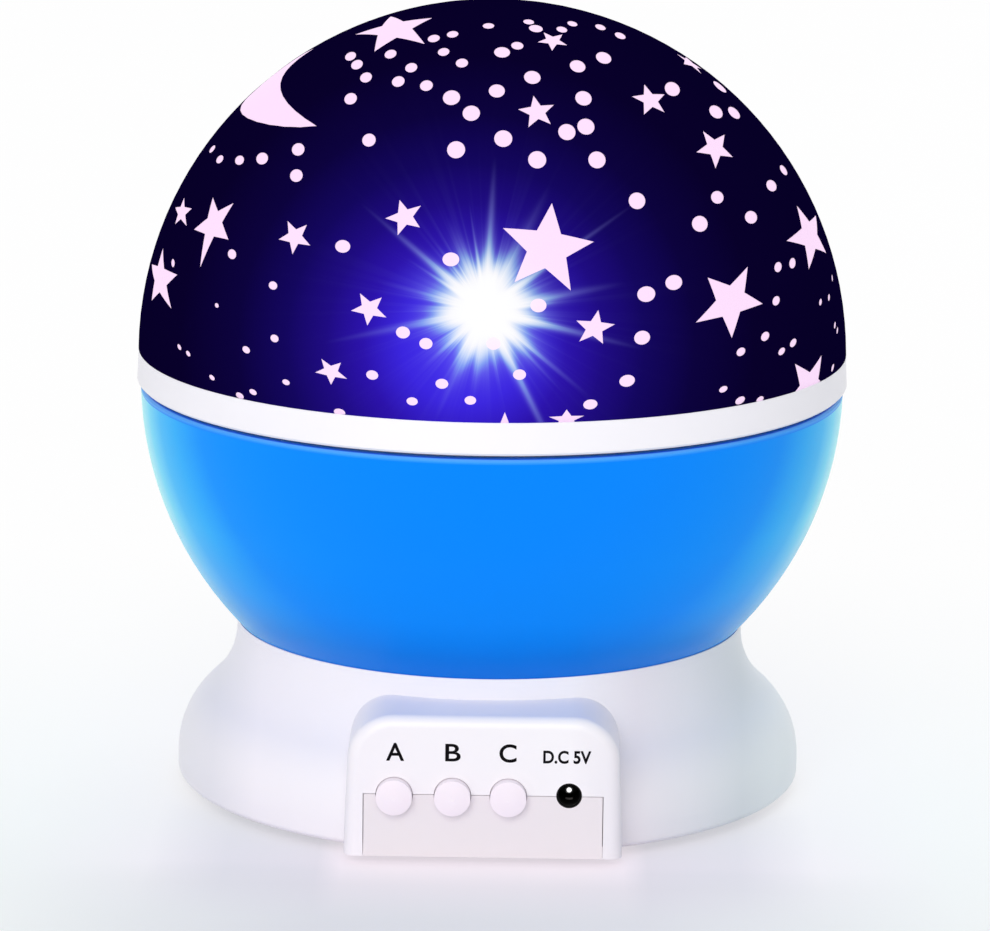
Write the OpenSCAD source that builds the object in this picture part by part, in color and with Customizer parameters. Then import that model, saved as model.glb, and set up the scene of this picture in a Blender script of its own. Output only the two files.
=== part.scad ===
// Star night light: a star cap on a turntable, in a bowl on a flared foot.
// Millimetres. Origin on the axis at the floor, +Z up, the button panel faces -Y.

/* [Cap] */
// Radius of the dark dome skin
dome_r = 60; // [59.9:0.05:60.1]
// Thickness of the dark skin that the stars are cut through
skin_t = 0.55; // [0.45:0.05:0.6]
// Thickness of the clear dome behind it
lens_t = 1.5; // [1.2:0.1:1.8]
// Height of the dome's centre above the floor
dome_z = 74.2; // [74.1:0.05:74.3]
// Radius scale of the round dots
dot_scale = 1; // [0.8:0.05:1.1]
// Turn of the star pattern round the axis
sky_turn = 0.7; // [0.5:0.1:0.9]
// Height at which the white ring starts
ring_z = 69.9; // [69.8:0.05:70]
// Height at which the white ring ends
ring_top = 75.3; // [75.2:0.05:75.3]

/* [Bowl] */
// Outer radius of the bowl
bowl_r = 59.6; // [59.4:0.1:59.7]
// Wall of the bowl
bowl_wall = 2; // [1.8:0.1:2.1]
// Height of the bowl's centre
bowl_cz = 69.8; // [69.7:0.1:69.9]
// Height of the bowl's rim
bowl_rim = 69.3; // [69:0.1:69.4]

/* [Foot] */
// Radius of the neck under the bowl
neck_r = 43.2; // [43:0.1:43.4]
// Radius at the bottom of the flare
flare_r = 53.3; // [53:0.1:53.6]
// Radius of both arcs of the flare
flare_arc = 14.5; // [14.5:0.1:14.8]
// Wall of the foot
foot_wall = 2; // [1.8:0.1:2.1]
// Height of the lower edge above the floor
foot_z = 1.4; // [1.2:0.1:1.6]

/* [Panel] */
// Half width of the button panel at its upper corners
panel_hw = 22.2; // [22:0.1:22.4]
// Lean of the panel's sides, which spread downwards
panel_lean = 2.1; // [1.5:0.1:2.5]
// Distance of the panel's face from the axis
panel_y = 54.2; // [54:0.1:54.4]
// Height of the panel's top
panel_top = 25; // [24.9:0.1:25.2]
// Height of the row of buttons
row_z = 11.8; // [11.6:0.1:12]
// Place of button A across the panel
a_x = -14.5; // [-14.5:0.1:-14.3]
// Place of button B across the panel
b_x = -5; // [-5.1:0.1:-4.9]
// Place of button C across the panel
c_x = 4.1; // [4:0.1:4.2]
// Place of the power jack across the panel
jack_x = 14; // [13.9:0.1:14]
// Radius of a button
button_r = 2.95; // [2.8:0.05:3]
// Height of a button above the panel
button_out = 2.3; // [2:0.1:2.5]

/* [Drive] */
// Teeth on the turntable
table_teeth = 72; // [72:1:72]
// Teeth on each pinion
pinion_teeth = 12; // [12:1:12]
// Play between teeth
backlash = 0.06; // [0.04:0.01:0.08]

/* [Power] */
// Cell diameter
cell_d = 10.5; // [10.3:0.1:10.5]
// Cell length
cell_l = 44.5; // [44:0.1:44.5]
// Turns of a battery spring
spring_turns = 4; // [3:1:5]

/* [Hidden] */
$fn = 96;

// drive
m_table = 0.8;
m_two = 0.6;
m_one = 0.5;
wheel_two = 42;
wheel_one = 48;
press_angle = 25;
play = 0.05;
reach_two = (table_teeth + pinion_teeth) * m_table / 2 + play;
reach_one = (wheel_two + pinion_teeth) * m_two / 2 + play;
reach_motor = (wheel_one + pinion_teeth) * m_one / 2 + play;
dir_two = 90;
dir_one = -20;
dir_motor = -15;
two_at = [reach_two * cos(dir_two), reach_two * sin(dir_two)];
one_at = two_at + reach_one * [cos(dir_one), sin(dir_one)];
motor_at = one_at + reach_motor * [cos(dir_motor), sin(dir_motor)];
motor_turn = atan2(motor_at[1], motor_at[0]);
axle_r = 1;
bore_r = 1.05;

// heights
deck_z = 56;
deck_t = 2;
deck_top = deck_z + deck_t;
table_z = 67.4;
table_top = 69.45;
table_r = 54;
post_r = 7.5;
board_z = 76.9;
lens_out = dome_r - skin_t - 0.05;
lens_in = lens_out - lens_t;
shelf_z = 24;
neck_top = 28.5;

// panel
row_x = [a_x, b_x, c_x];
jack_z = row_z + 0.3;
wall_y = panel_y - foot_wall;
notch_hw = 19.6;
tab_hw = 19.47;
hole_r = button_r + 0.1;
jack_r = 2.05;
board_y = 44;
board_front = 45.6;
board_hw = 18.2;
switch_y = 49.1;

// foot
plate_top = foot_z + 2;
plate_r = flare_r - foot_wall - 0.3;
foot_bosses = [[36.6, 13.5], [-36.6, 13.5], [33, -22], [-33, -22]];
pads = [[28, 33.5], [-28, 33.5], [28, -33.5], [-28, -33.5]];
bay_x = 25.5;
bay_y = 24.2;
bay_top = 15.2;
cell_y = [-16.5, -5.5, 5.5, 16.5];
cell_z = 9.3;
deck_dirs = [90, 210, 330];
key_dirs = [30, 150, 270];
neck_dirs = [45, 135, 225, 315];

// The sky, read off the photograph by eye: [degrees round, degrees up, radius]
high_dots = [
    [-5, 76, 0.95], [24.5, 77.5, 0.9], [-30.5, 70.3, 1], [-23, 72.2, 0.95], [9.4, 69, 1],
    [24.5, 74.7, 1.15], [40, 73.6, 0.9], [54.7, 75, 0.85], [69.8, 72, 0.9], [70.3, 68.5, 0.95],
    [-58.7, 62, 0.95], [-50.8, 60.5, 1], [-42, 64.4, 1], [-29, 61.6, 1], [-21, 66.5, 0.95],
    [-12, 63.7, 1], [2.5, 67, 1.3], [11.6, 60.2, 1.35], [29, 62.5, 1.3], [42.5, 64, 1.3],
    [-42, 58, 1], [-41, 53, 1.05], [-30, 58, 1.05], [-20.5, 57.6, 1.05], [-12, 55.2, 1.4],
    [0.4, 57, 1.3], [24.6, 54.9, 1.35], [57, 54.5, 1.3]
];
mid_dots = [
    [-29, 45.4, 1.1], [-8.4, 44.7, 1.45], [-6, 52, 1.4], [1.9, 47, 1.45], [16.9, 48.1, 1.4],
    [22, 49, 1.4], [66, 48.1, 1.25], [75, 46.6, 1.25], [86, 51, 1.4], [-71, 36.4, 0.75],
    [-80, 36.9, 0.75], [-62.4, 37.6, 0.8], [-55, 39, 1], [-46, 41.9, 1.05], [-42.6, 37.4, 1.05],
    [9, 43, 1.45], [22, 42.6, 1.4], [28, 35, 1.35], [40.1, 30.1, 1.3], [47, 33.9, 1.05],
    [53.9, 29.6, 1.05], [66.4, 33.4, 1], [77.6, 34.5, 0.95]
];
low_dots = [
    [-50.6, 22.9, 0.75], [-27.1, 26.9, 1.05], [-7.4, 26, 1.15], [26, 20, 1.25], [31.5, 21.4, 1.2],
    [56.5, 21, 0.75], [61.5, 20.9, 0.75], [-69, 18.5, 0.55], [-39.1, 19.4, 0.65],
    [-14.4, 14.4, 0.95], [-10.6, 12.9, 0.9], [7.5, 19, 1.1], [0.3, 13.2, 1], [24.4, 13.4, 1.1],
    [53.5, 16, 0.7], [68.6, 13.4, 0.45], [-42.5, 8.9, 0.55], [-36.9, 11.4, 0.6], [-34, 5, 0.45],
    [-19, 7.6, 0.75], [-12.5, 4, 0.65], [-7.9, 6.9, 0.8], [-3.5, 4.5, 0.7], [4.4, 8.5, 0.85],
    [21.5, 7, 0.95], [39, 4.1, 0.5], [43.1, 9.4, 0.65], [49.1, 11, 0.7], [53, 8.1, 0.55],
    [56.5, 8.9, 0.6], [-40.5, 2.6, 0.45], [15.5, 3.7, 0.8], [42.5, 1.9, 0.6], [47, 1.4, 0.5],
    [71.3, 2.3, 0.5], [-43.3, 1.6, 0.5], [-24.3, 1.4, 0.6], [-50, 3.4, 0.4], [-57, 6, 0.4],
    [-60, 6.5, 0.4], [-51, 14.6, 0.35], [73.5, 13.3, 0.45], [74.4, 8.6, 0.45], [75.7, 7.5, 0.45],
    [79, 15.5, 0.45]
];
// [degrees round, degrees up, tip radius, first tip's direction, squash, squashed direction],
// and for a star with one long tip, that tip's number and its stretch
front_stars = [
    [-60, 71, 11, 75, 0.62, 78], [88, 57, 3.2, 14, 1.6, 0]
];
stars = [
    [9.3, 27.9, 7.8, 8, 1, 0], [27, 70, 2.7, 30, 1.36, 54],
    [44.5, 53, 3.2, 4, 1.43, 32], [10.6, 52.2, 3.8, 22, 0.83, -19], [54, 42, 5.6, 25, 0.63, 108],
    [-74.4, 26, 6.2, 45, 0.4, 86], [-16.4, 32.4, 3.25, 43, 1, 0],
    [-59, 26.5, 6.3, 58, 0.85, 75, 3, 1.4], [73, 23.5, 5.6, 20, 2, 2], [-37, 27.4, 3.7, 58, 0.76, 67],
    [-73, 15, 10.4, 37, 0.45, 82], [42.2, 17.3, 8.4, 52, 0.67, 108], [-20.2, 17.6, 3.3, 51, 0.81, 73],
    [16.3, 15.3, 3.5, 6, 0.82, 103], [-25.7, 7.5, 3.1, 53, 0.68, 78], [60.7, 1, 8.6, 52, 0.66, 90],
    [2, -2.4, 5.4, 18, 1, 0], [11.5, 1.5, 3.05, 18, 0.53, 90]
];
// [degrees round, degrees up, size, stretch sideways] of the crescent and of the one behind
front_moon = [-70, 52, 1, 2.07];
back_moon = [-50, 50, 0.8, 1];
moon_room = 13;
// Angle of the line of sight above the horizon when the pattern is seen from the front
front_rise = 11.76;

// helpers

module at_sky(az, el) {
    translate([0, 0, dome_z])
        rotate([90 - el, 0, az])
            children();
}

module tube(outer, inner, low, high) {
    translate([0, 0, low])
        difference() {
            cylinder(r = outer, h = high - low);
            translate([0, 0, -1])
                cylinder(r = inner, h = high - low + 2);
        }
}

function squashed(p, s, d) =
    let (u = (p[0] * cos(d) + p[1] * sin(d)) * s, v = p[1] * cos(d) - p[0] * sin(d))
    [u * cos(d) - v * sin(d), u * sin(d) + v * cos(d)];

module star_cut(s) {
    at_sky(s[0], s[1])
        translate([0, 0, 48])
            linear_extrude(height = 15)
                polygon([
                    for (i = [0:9])
                        let (
                            tip = i / 2 == s[6] ? s[2] * s[7] : s[2],
                            r = i % 2 == 0 ? tip : s[2] * 0.43,
                            a = s[3] + 36 * i
                        )
                        squashed([r * cos(a), r * sin(a)], s[4], s[5])
                ]);
}

// A round hole drilled at a slant
module dot_cut(d, tilt, aim) {
    at_sky(d[0], d[1])
        translate([0, 0, dome_r - 0.3])
            rotate([0, tilt, aim])
                cylinder(r = d[2] * dot_scale, h = 12, center = true, $fn = 32);
}

// The line of sight from the front, in the axes of a place on the dome
function to_front(az, el) = [
    -cos(front_rise) * sin(az),
    sin(front_rise) * cos(el) - cos(front_rise) * cos(az) * sin(el),
    cos(front_rise) * cos(az) * cos(el) + sin(front_rise) * sin(el)
];

// High dots slant most of the way towards the front, so they still look round from there
module high_dot(d) {
    w = to_front(d[0], d[1]);
    share = min(1, min(0.95, 1.3 - 0.0093 * d[1]) + 0.003 * abs(d[0]));
    dot_cut(d, min(60, share * acos(w[2])), atan2(w[1], w[0]));
}

// Low dots slant sideways, so they are wide round the ring
module low_dot(d) {
    tilt = min(58, 30 + 0.4 * abs(d[0]) + 1.5 * max(0, 12 - d[1]));
    dot_cut(d, tilt, 0.3 * d[0] + (d[0] > 0 ? 180 : 0));
}

// A crescent between two arcs, drawn out sideways as it wraps round the dome
module moon_cut(m) {
    low = [for (i = [0:16]) let (a = 126 + 202.8 * i / 16) [10.1 * cos(a), 2.15 + 10.1 * sin(a)]];
    high = [for (i = [1:11]) let (a = 277 - 99.2 * i / 12) [7.05 + 13 * cos(a), 9.83 + 13 * sin(a)]];
    at_sky(m[0], m[1])
        translate([0, 0, 44])
            linear_extrude(height = 20)
                polygon([for (p = concat(low, high)) m[2] * squashed(p, m[3], 3)]);
}

function sky_dir(az, el) = [cos(el) * sin(az), -cos(el) * cos(az), sin(el)];

function off_moon(d) = sky_dir(d[0], d[1]) * sky_dir(back_moon[0], back_moon[1]) < cos(moon_room);

function inv_deg(a) = tan(a) * 180 / PI - a;

function half_tooth(m, n, r) =
    let (rp = m * n / 2, rb = rp * cos(press_angle), q = max(r, rb))
    90 / n - backlash / rp * 45 / PI + inv_deg(press_angle) - inv_deg(acos(rb / q));

// Stub involute teeth, with one tooth centred on the direction given
module gear_2d(m, n, aim) {
    rp = m * n / 2;
    steps = [-1.1, -0.5, 0, 0.45, 0.8];
    polygon([
        for (t = [0:n - 1], k = [0:9])
            let (
                i = k < 5 ? k : 9 - k,
                r = rp + steps[i] * m,
                a = aim + 360 * t / n + (k < 5 ? -1 : 1) * half_tooth(m, n, r)
            )
            [r * cos(a), r * sin(a)]
    ]);
}

module wire(points, r) {
    for (i = [0:len(points) - 2]) {
        p = points[i];
        d = points[i + 1] - p;
        len_xy = norm([d[0], d[1]]);
        translate(p)
            rotate([0, atan2(len_xy, d[2]), atan2(d[1], d[0])])
                cylinder(r = r, h = norm(d), $fn = 24);
    }
    if (len(points) > 2)
        for (i = [1:len(points) - 2])
            translate(points[i])
                sphere(r = r * 1.2, $fn = 24);
}

module screw(head_r, head_h, shank_r, shank_l) {
    difference() {
        cylinder(r = head_r, h = head_h, $fn = 32);
        for (a = [0, 90])
            rotate([0, 0, a])
                translate([-head_r * 0.6, -0.25, head_h - 0.5])
                    cube([head_r * 1.2, 0.5, 1]);
    }
    translate([0, 0, -shank_l])
        cylinder(r = shank_r, h = shank_l + 0.1, $fn = 32);
}

// cap

module night_sky_mask() {
    color([0.03, 0.02, 0.16])
        difference() {
            translate([0, 0, dome_z])
                difference() {
                    sphere(r = dome_r);
                    sphere(r = dome_r - skin_t);
                }
            translate([-70, -70, 0])
                cube([140, 140, ring_top + 0.05]);
            for (turn = [0, 180])
                rotate([0, 0, turn + sky_turn]) {
                    for (d = concat(high_dots, mid_dots))
                        if (turn == 0 || off_moon(d))
                            high_dot(d);
                    for (d = low_dots)
                        low_dot(d);
                    for (s = stars)
                        star_cut(s);
                    moon_cut(turn == 0 ? front_moon : back_moon);
                }
            rotate([0, 0, sky_turn])
                for (s = front_stars)
                    star_cut(s);
        }
}

module clear_dome() {
    color([0.95, 0.9, 1, 0.6])
        difference() {
            translate([0, 0, dome_z])
                difference() {
                    sphere(r = lens_out);
                    sphere(r = lens_in);
                }
            translate([-70, -70, 0])
                cube([140, 140, ring_z + 1.45]);
        }
}

module dome_ring() {
    wall_in = lens_out + 0.1;
    color([0.93, 0.91, 0.98]) {
        rotate_extrude()
            polygon([
                [51, ring_z - 0.4], [51, ring_z + 1.3], [56.2, ring_z + 1.3], [56.2, ring_z + 3.3],
                [57.4, ring_z + 3.3], [57.4, ring_z + 1.4], [wall_in, ring_z + 1.4],
                [wall_in, ring_top], [dome_r - 0.05, ring_top], [dome_r + 0.2, ring_z + 0.4],
                [dome_r - 0.2, ring_z], [57, ring_z], [57, 66.4], [55.8, 66.4], [55.8, ring_z - 0.4]
            ]);
        for (a = key_dirs)
            rotate([0, 0, a])
                translate([53.4, -3, 66.6])
                    cube([2.6, 6, ring_z - 0.2 - 66.6]);
    }
}

// turntable and light

module turntable() {
    color([0.9, 0.9, 0.92])
        difference() {
            union() {
                translate([0, 0, table_z])
                    cylinder(r = table_r, h = table_top - table_z);
                translate([0, 0, 60.5])
                    cylinder(r = 10.4, h = table_z - 60.4);
                translate([0, 0, 64.9])
                    linear_extrude(height = table_z - 64.8)
                        difference() {
                            gear_2d(m_table, table_teeth, dir_two);
                            circle(r = 24.5);
                        }
                for (a = [15:30:345])
                    rotate([0, 0, a])
                        translate([40.5, -0.6, 66.3])
                            cube([12.5, 1.2, 1.2]);
            }
            translate([0, 0, 60])
                cylinder(r = post_r + 0.05, h = 12);
            for (a = key_dirs)
                rotate([0, 0, a])
                    translate([52.9, -3.3, 66])
                        cube([3, 6.6, 5]);
            for (a = [0:60:300])
                rotate([0, 0, a + 30])
                    translate([17.5, 0, 66])
                        cylinder(r = 4.5, h = 5);
        }
}

module thrust_washer() {
    color([0.2, 0.2, 0.22])
        tube(10.2, post_r + 0.1, deck_top + 2, deck_top + 2.4);
}

module led_post() {
    color([0.92, 0.92, 0.94])
        difference() {
            union() {
                translate([0, 0, deck_top])
                    cylinder(r = 15.5, h = 2);
                translate([0, 0, deck_top + 1])
                    cylinder(r = post_r, h = board_z - deck_top - 1);
            }
            translate([0, 0, deck_top - 1])
                cylinder(r = 6, h = 30);
            for (a = [0, 120, 240])
                rotate([0, 0, a])
                    translate([13, 0, deck_top - 1])
                        cylinder(r = 1.1, h = 4, $fn = 32);
        }
}

module post_screws() {
    color([0.7, 0.7, 0.72])
        for (a = [0, 120, 240])
            rotate([0, 0, a])
                translate([13, 0, deck_top + 2])
                    screw(1.9, 1.2, 0.95, 3.6);
}

module retaining_ring() {
    color([0.6, 0.6, 0.62])
        difference() {
            tube(9.4, post_r, table_top + 0.15, table_top + 1.05);
            translate([4, -1.5, table_top])
                cube([8, 3, 2]);
        }
}

module led_board() {
    color([0.95, 0.95, 0.9])
        translate([0, 0, board_z])
            cylinder(r = 8.2, h = 1.2);
}

module led(turn) {
    rotate([0, 0, turn])
        translate([4.4, 0, board_z + 1.2]) {
            cylinder(r = 2.85, h = 1, $fn = 48);
            translate([0, 0, 0.5])
                cylinder(r = 2.5, h = 5.6, $fn = 48);
            translate([0, 0, 6.1])
                intersection() {
                    sphere(r = 2.5, $fn = 48);
                    cylinder(r = 3, h = 3, $fn = 48);
                }
        }
}

module warm_led() {
    color([1, 0.95, 0.8])
        led(45);
}

module red_led() {
    color([1, 0.3, 0.3])
        led(135);
}

module green_led() {
    color([0.4, 1, 0.5])
        led(225);
}

module blue_led() {
    color([0.4, 0.5, 1])
        led(315);
}

// deck and drive

module deck() {
    color([0.85, 0.86, 0.9])
        difference() {
            union() {
                translate([0, 0, deck_z])
                    cylinder(r = 54.4, h = deck_t);
                tube(54.4, 52.6, deck_z + 1, deck_top + 2);
                for (at = [one_at, two_at])
                    translate([at[0], at[1], deck_z - 3])
                        cylinder(r = 2.6, h = 4, $fn = 48);
            }
            translate([0, 0, deck_z - 1])
                cylinder(r = 5, h = 4);
            for (a = deck_dirs)
                rotate([0, 0, a])
                    translate([48, 0, deck_z - 1])
                        cylinder(r = 1.5, h = 4, $fn = 32);
            for (a = [0, 120, 240])
                rotate([0, 0, a])
                    translate([13, 0, deck_z - 1])
                        cylinder(r = 0.95, h = 4, $fn = 32);
            for (at = [one_at, two_at])
                translate([at[0], at[1], deck_z - 4])
                    cylinder(r = axle_r, h = 8, $fn = 32);
            translate([motor_at[0], motor_at[1], deck_z - 1]) {
                cylinder(r = 4, h = 4, $fn = 48);
                rotate([0, 0, motor_turn])
                    for (s = [-1, 1])
                        translate([0, s * 13.2, 0])
                            cylinder(r = 0.9, h = 4, $fn = 32);
            }
        }
}

module deck_screws() {
    color([0.7, 0.7, 0.72])
        for (a = deck_dirs)
            rotate([0, 0, a])
                translate([48, 0, deck_top])
                    screw(2.4, 1.6, 1.2, 8);
}

module motor() {
    translate([motor_at[0], motor_at[1], 0])
        color([0.72, 0.72, 0.74])
            difference() {
                union() {
                    translate([0, 0, 44])
                        cylinder(r = 10, h = 12, $fn = 64);
                    translate([0, 0, 55.5])
                        cylinder(r = 3.5, h = 1.5, $fn = 48);
                    translate([0, 0, 43])
                        cylinder(r = 2.5, h = 2, $fn = 48);
                    rotate([0, 0, motor_turn])
                        for (s = [-1, 1]) {
                            translate([-3.2, s > 0 ? 8 : -13.2, 54.8])
                                cube([6.4, 5.2, 1.2]);
                            translate([0, s * 13.2, 54.8])
                                cylinder(r = 3.2, h = 1.2, $fn = 48);
                        }
                }
                translate([0, 0, 50])
                    cylinder(r = bore_r, h = 10, $fn = 32);
                rotate([0, 0, motor_turn])
                    for (s = [-1, 1])
                        translate([0, s * 13.2, 54])
                            cylinder(r = 1.1, h = 4, $fn = 32);
            }
}

module motor_screws() {
    color([0.7, 0.7, 0.72])
        translate([motor_at[0], motor_at[1], 54.8])
            rotate([0, 0, motor_turn])
                for (s = [-1, 1])
                    translate([0, s * 13.2, 0])
                        rotate([180, 0, 0])
                            screw(1.8, 1.1, 0.9, 3.1);
}

module motor_pinion() {
    color([0.95, 0.85, 0.5])
        translate([motor_at[0], motor_at[1], 0]) {
            translate([0, 0, 59])
                linear_extrude(height = 1.9)
                    gear_2d(m_one, pinion_teeth, dir_motor);
            translate([0, 0, 50.2])
                cylinder(r = axle_r, h = 11.2, $fn = 32);
        }
}

module gear_one() {
    color([0.95, 0.95, 0.9])
        translate([one_at[0], one_at[1], 0])
            difference() {
                union() {
                    translate([0, 0, 59])
                        linear_extrude(height = 1.8)
                            gear_2d(m_one, wheel_one, dir_motor + 180 / wheel_one);
                    translate([0, 0, 60.7])
                        linear_extrude(height = 2.3)
                            gear_2d(m_two, pinion_teeth, dir_one);
                    translate([0, 0, deck_top + 0.1])
                        cylinder(r = 2.3, h = 1.5, $fn = 48);
                }
                translate([0, 0, 57])
                    cylinder(r = bore_r, h = 10, $fn = 32);
                for (a = [0:60:300])
                    rotate([0, 0, a])
                        translate([7.8, 0, 58.5])
                            cylinder(r = 2.2, h = 3, $fn = 48);
            }
}

module gear_two() {
    color([0.85, 0.92, 0.95])
        translate([two_at[0], two_at[1], 0])
            difference() {
                union() {
                    translate([0, 0, 61.2])
                        linear_extrude(height = 1.8)
                            gear_2d(m_two, wheel_two, dir_one + 180 / wheel_two);
                    translate([0, 0, 62.9])
                        linear_extrude(height = 4.2)
                            gear_2d(m_table, pinion_teeth, dir_two + 180 / pinion_teeth);
                    translate([0, 0, deck_top + 0.1])
                        cylinder(r = 2.3, h = 3.5, $fn = 48);
                }
                translate([0, 0, 57])
                    cylinder(r = bore_r, h = 12, $fn = 32);
                for (a = [0:72:288])
                    rotate([0, 0, a])
                        translate([8.6, 0, 60.5])
                            cylinder(r = 2, h = 3, $fn = 48);
            }
}

module gear_axles() {
    color([0.75, 0.75, 0.78]) {
        translate([one_at[0], one_at[1], deck_z - 3])
            cylinder(r = axle_r, h = 64.3 - deck_z + 3, $fn = 32);
        translate([two_at[0], two_at[1], deck_z - 3])
            cylinder(r = axle_r, h = 67.2 - deck_z + 3, $fn = 32);
    }
}

module axle_clip() {
    color([0.5, 0.5, 0.52])
        translate([one_at[0], one_at[1], 63.2])
            difference() {
                cylinder(r = 2.2, h = 0.6, $fn = 48);
                translate([0, 0, -1])
                    cylinder(r = axle_r, h = 3, $fn = 32);
                translate([0.4, -0.5, -1])
                    cube([4, 1, 3]);
            }
}

// bowl and foot

module bowl() {
    color([0.05, 0.5, 1])
        difference() {
            union() {
                intersection() {
                    translate([0, 0, bowl_cz])
                        difference() {
                            sphere(r = bowl_r);
                            sphere(r = bowl_r - bowl_wall);
                        }
                    translate([-70, -70, neck_top])
                        cube([140, 140, bowl_rim - neck_top]);
                }
                translate([0, 0, shelf_z + 2])
                    cylinder(r = 40.9, h = 2.6);
                intersection() {
                    for (a = deck_dirs)
                        rotate([0, 0, a])
                            translate([48, 0, 30])
                                cylinder(r = 3.6, h = deck_z - 30, $fn = 48);
                    translate([0, 0, bowl_cz])
                        sphere(r = bowl_r - 1);
                }
                for (a = neck_dirs)
                    rotate([0, 0, a])
                        translate([30, 0, neck_top])
                            cylinder(r = 3.2, h = 6, $fn = 48);
            }
            translate([0, 0, 20])
                cylinder(r = 6, h = 12);
            for (a = deck_dirs)
                rotate([0, 0, a])
                    translate([48, 0, 46])
                        cylinder(r = 1.2, h = 12, $fn = 32);
            for (a = neck_dirs)
                rotate([0, 0, a])
                    translate([30, 0, 25])
                        cylinder(r = 1.2, h = 8, $fn = 32);
            translate([0, 0, bowl_rim - 0.45])
                rotate_extrude()
                    polygon([[bowl_r - 0.5, 0.46], [bowl_r - 0.04, 0], [bowl_r + 1, 0], [bowl_r + 1, 0.46]]);
        }
}

module bowl_screws() {
    color([0.7, 0.7, 0.72])
        for (a = neck_dirs)
            rotate([0, 0, a])
                translate([30, 0, shelf_z])
                    rotate([180, 0, 0])
                        screw(2.4, 1.6, 1.2, 8);
}

// The flare's outline: two equal arcs that meet, offset inwards by t
module flare_2d(t, low, high) {
    arc = acos(1 - (flare_r - neck_r) / 2 / flare_arc);
    drop = flare_arc * sin(arc);
    cx = flare_r - flare_arc;
    z_low = 27 - 2 * drop;
    z_mid = 27 - drop;
    x_out = neck_r + flare_arc;
    intersection() {
        translate([0, low])
            square([80, high - low]);
        union() {
            translate([0, low])
                square([flare_r - t, z_low - low]);
            translate([0, z_low])
                square([cx, z_mid - z_low]);
            intersection() {
                translate([cx, z_low])
                    circle(r = flare_arc - t);
                translate([cx, z_low])
                    square([60, z_mid - z_low]);
            }
            difference() {
                translate([0, z_mid])
                    square([x_out, 27 - z_mid]);
                translate([x_out, 27])
                    circle(r = flare_arc + t);
            }
            translate([0, 27])
                square([neck_r - t, 10]);
        }
    }
}

module rounded_end(hw, top, r, low) {
    translate([-hw, low])
        square([2 * hw, top - r - low]);
    translate([-hw + r, low])
        square([2 * hw - 2 * r, top - low]);
    for (s = [-1, 1])
        translate([s * (hw - r), top - r])
            circle(r = r);
}

// The button panel's housing: its sides lean about the centres of its two upper
// corners, and one soft edge runs all round its face
module panel_block() {
    big = 7.6;
    soft = 1.9;
    back = 36;
    deep = panel_top - big;
    translate([-(panel_hw - big), 0, 0])
        rotate([90, 0, 90])
            linear_extrude(height = 2 * (panel_hw - big)) {
                translate([-panel_y, foot_z])
                    square([panel_y - back, panel_top - soft - foot_z]);
                translate([-panel_y + soft, foot_z])
                    square([panel_y - soft - back, panel_top - foot_z]);
                translate([-panel_y + soft, panel_top - soft])
                    circle(r = soft);
            }
    for (s = [-1, 1]) {
        difference() {
            translate([s * (panel_hw - big), 0, deep])
                rotate([0, -s * panel_lean, 0])
                    translate([0, 0, -deep])
                        linear_extrude(height = deep) {
                            translate([s > 0 ? -1 : -big, -panel_y + soft])
                                square([big + 1, panel_y - soft - back]);
                            translate([s > 0 ? -1 : -big + soft, -panel_y])
                                square([big - soft + 1, soft + 1]);
                            translate([s * (big - soft), -panel_y + soft])
                                circle(r = soft);
                        }
            translate([-40, -60, -2])
                cube([80, 30, foot_z + 2]);
        }
        translate([s * (panel_hw - big), 0, deep])
            intersection() {
                translate([0, -back, 0])
                    rotate([90, 0, 0])
                        rotate_extrude() {
                            square([big, panel_y - back - soft]);
                            square([big - soft, panel_y - back]);
                            translate([big - soft, panel_y - back - soft])
                                circle(r = soft);
                        }
                translate([s > 0 ? 0 : -big - 1, -60, -1])
                    cube([big + 1, 30, big + 2]);
                rotate([0, -s * panel_lean, 0])
                    translate([-10, -60, 0])
                        cube([20, 30, big + 2]);
            }
    }
}

module base_shell() {
    color([0.93, 0.92, 0.97])
        difference() {
            union() {
                difference() {
                    union() {
                        rotate_extrude()
                            difference() {
                                flare_2d(0, foot_z, neck_top);
                                translate([flare_r - 1.2, foot_z])
                                    difference() {
                                        square([2, 1.2]);
                                        translate([0, 1.2])
                                            circle(r = 1.2);
                                    }
                            }
                        panel_block();
                    }
                    rotate_extrude()
                        flare_2d(foot_wall, foot_z - 1, shelf_z);
                    translate([0, 0, shelf_z + 2])
                        cylinder(r = 41.1, h = 10);
                    translate([0, -30, 0])
                        rotate([90, 0, 0])
                            linear_extrude(height = wall_y - 30)
                                rounded_end(panel_hw - foot_wall, panel_top - foot_wall, 5, 0);
                }
                for (at = foot_bosses)
                    translate([at[0], at[1], plate_top + 0.2])
                        cylinder(r = 3.2, h = shelf_z - plate_top, $fn = 48);
            }
            translate([0, 0, 20])
                cylinder(r = 6.5, h = 12);
            for (a = neck_dirs)
                rotate([0, 0, a])
                    translate([30, 0, 20])
                        cylinder(r = 1.5, h = 10, $fn = 32);
            for (at = foot_bosses)
                translate([at[0], at[1], 0])
                    cylinder(r = 1.1, h = 14, $fn = 32);
            translate([-notch_hw, -60, -1])
                cube([2 * notch_hw, 9, row_z + 1.2]);
            for (x = row_x)
                translate([x, -40, row_z])
                    rotate([90, 0, 0])
                        cylinder(r = hole_r, h = 20, $fn = 48);
            translate([jack_x, -40, jack_z])
                rotate([90, 0, 0])
                    cylinder(r = jack_r, h = 20, $fn = 48);
        }
}

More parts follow.
